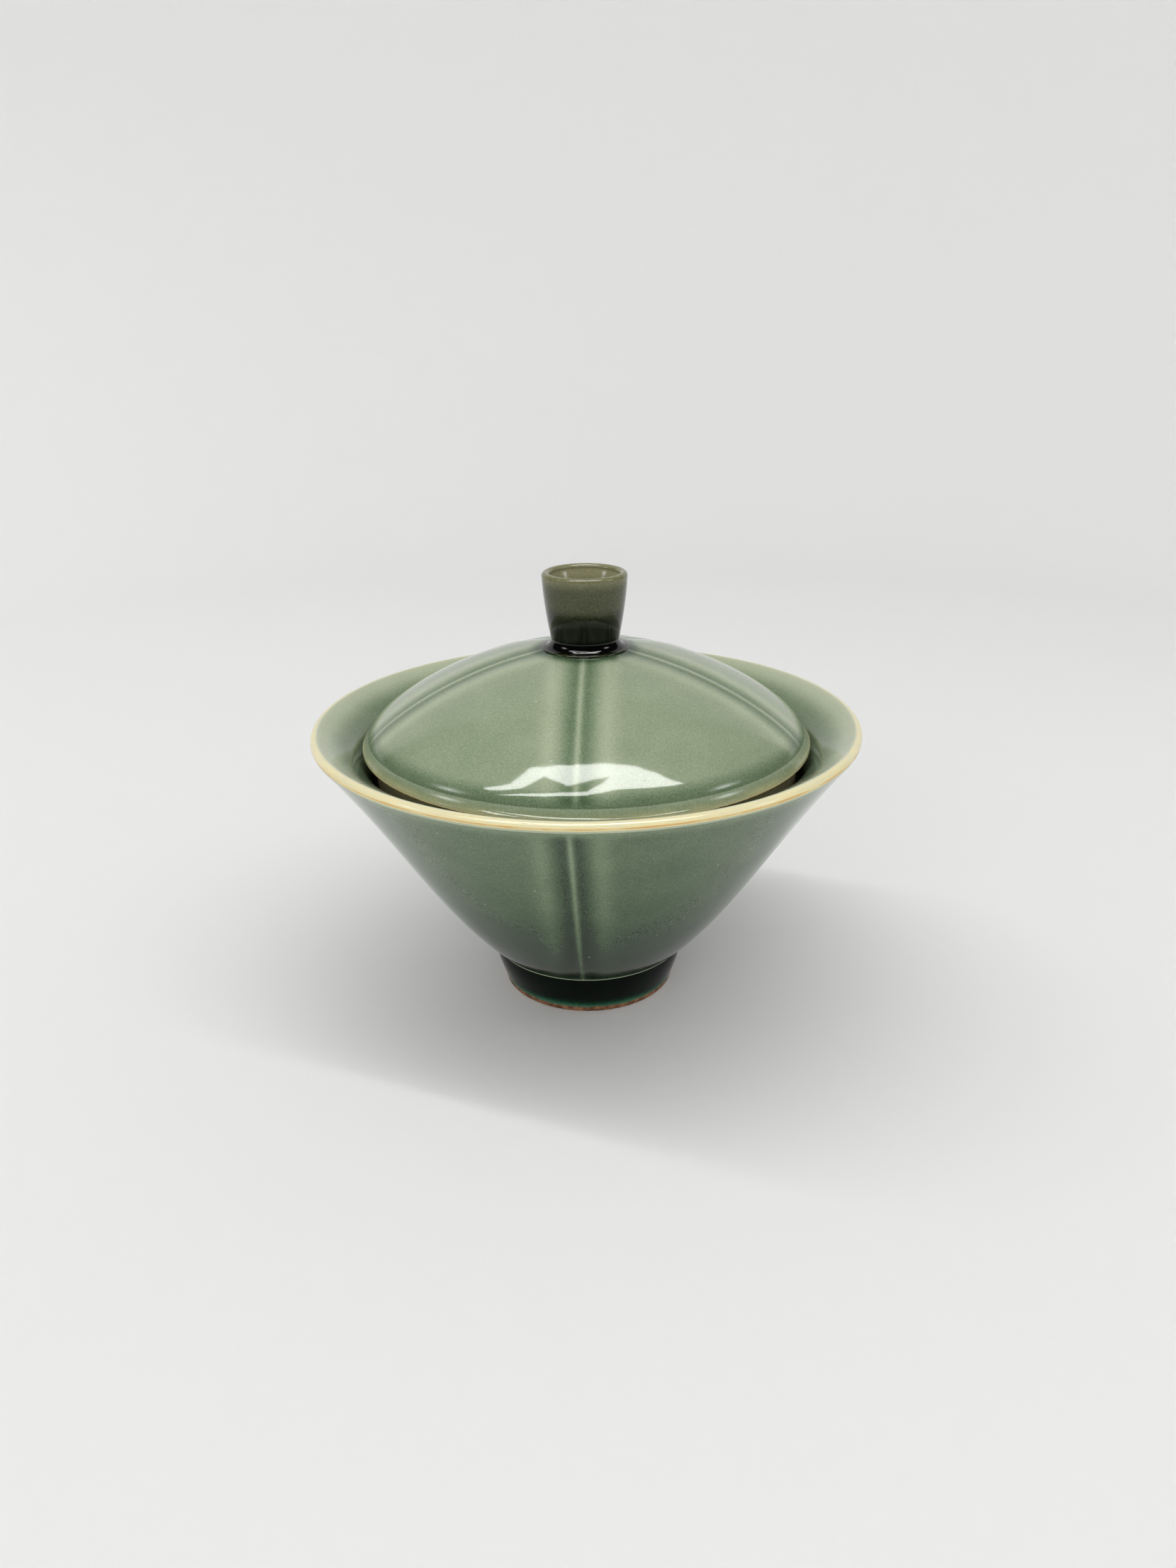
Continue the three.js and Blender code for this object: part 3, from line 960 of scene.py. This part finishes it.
def tent_glow(azimuth, elevation):
    """How bright the studio is in each direction, in degrees. Azimuth 0 is the front, 90 is +X.

    A pale sheet hangs at the back, the sides and the front are dark, and a lamp shines in at each side.
    """
    from_back = 180 - abs(azimuth)
    sheet_edge = SHEET_HALF_WIDTH - SHEET_NARROWING * elevation
    on_sheet = fade(from_back, sheet_edge - SHEET_SOFTNESS, sheet_edge + SHEET_SOFTNESS)
    below_top = fade(elevation, *SHEET_TOP)
    sheet = mix(SHEET_GLOW, SHEET_TOP_GLOW, smoothstep(elevation, 5, 40)) * on_sheet * below_top
    floor_band = FLOOR_GLOW * fade(elevation, -4, 2)
    across = bump(abs(azimuth) - LAMP_PLACE[0], LAMP_HALF_SIZE[0])
    upwards = bump(elevation - LAMP_PLACE[1], LAMP_HALF_SIZE[1])
    return ROOM_GLOW + max(sheet, floor_band) + LAMP_GLOW * across * upwards


def make_tent():
    """The studio's walls and ceiling as the glaze mirrors them."""
    outline = []
    for elevation in range(TENT_BOTTOM, 90, TENT_STEP):
        angle = math.radians(elevation)
        outline.append((TENT_RADIUS * math.cos(angle), TENT_RADIUS * math.sin(angle)))
    vertices, faces = round_surface(outline, 360 // TENT_STEP)
    tent = stage_piece("studio_tent", vertices, faces, glow_material("tent_glow", "glow"))
    glow = tent.data.attributes.new("glow", "FLOAT", "POINT")
    values = []
    for x, y, z in vertices:
        azimuth = math.degrees(math.atan2(x, -y))
        values.append(tent_glow(azimuth, math.degrees(math.asin(z / TENT_RADIUS))))
    glow.data.foreach_set("value", values)
    only_mirrored(tent)


def panel_light(name, place, size, power):
    """A rectangular light that faces the bowl and that the glaze doesn't mirror."""
    data = bpy.data.lights.new(name, "AREA")
    data.shape = "RECTANGLE"
    data.size = size[0]
    data.size_y = size[1]
    data.energy = power
    light = bpy.data.objects.new(name, data)
    light.location = place
    light.rotation_euler = Vector(place).to_track_quat("Z", "Y").to_euler()
    light.visible_glossy = False
    bpy.context.scene.collection.objects.link(light)


def make_lights():
    """A long narrow panel overhead, and a low fill from the front that stands outside the sweep."""
    panel_light("top_panel", **TOP_PANEL)
    panel_light("front_panel", **FRONT_PANEL)


def make_world():
    world = bpy.data.worlds.new("studio")
    world.use_nodes = True
    background = world.node_tree.nodes["Background"]
    background.inputs["Color"].default_value = (1.0, 1.0, 1.0, 1.0)
    background.inputs["Strength"].default_value = CEILING_GLOW
    bpy.context.scene.world = world


def make_camera():
    data = bpy.data.cameras.new("camera")
    data.lens = CAMERA_LENS
    data.clip_start = 0.01
    camera = bpy.data.objects.new("camera", data)
    turn = Matrix.Rotation(CAMERA_PITCH, 4, "X") @ Matrix.Rotation(CAMERA_ROLL, 4, "Z")
    camera.matrix_world = Matrix.Translation(CAMERA_PLACE) @ turn
    bpy.context.scene.collection.objects.link(camera)
    bpy.context.scene.camera = camera


def make_studio():
    make_sweep()
    make_board()
    make_tent()
    make_lights()
    make_world()
    make_camera()
    bpy.context.scene.view_settings.view_transform = "Standard"


assemble()
make_studio()
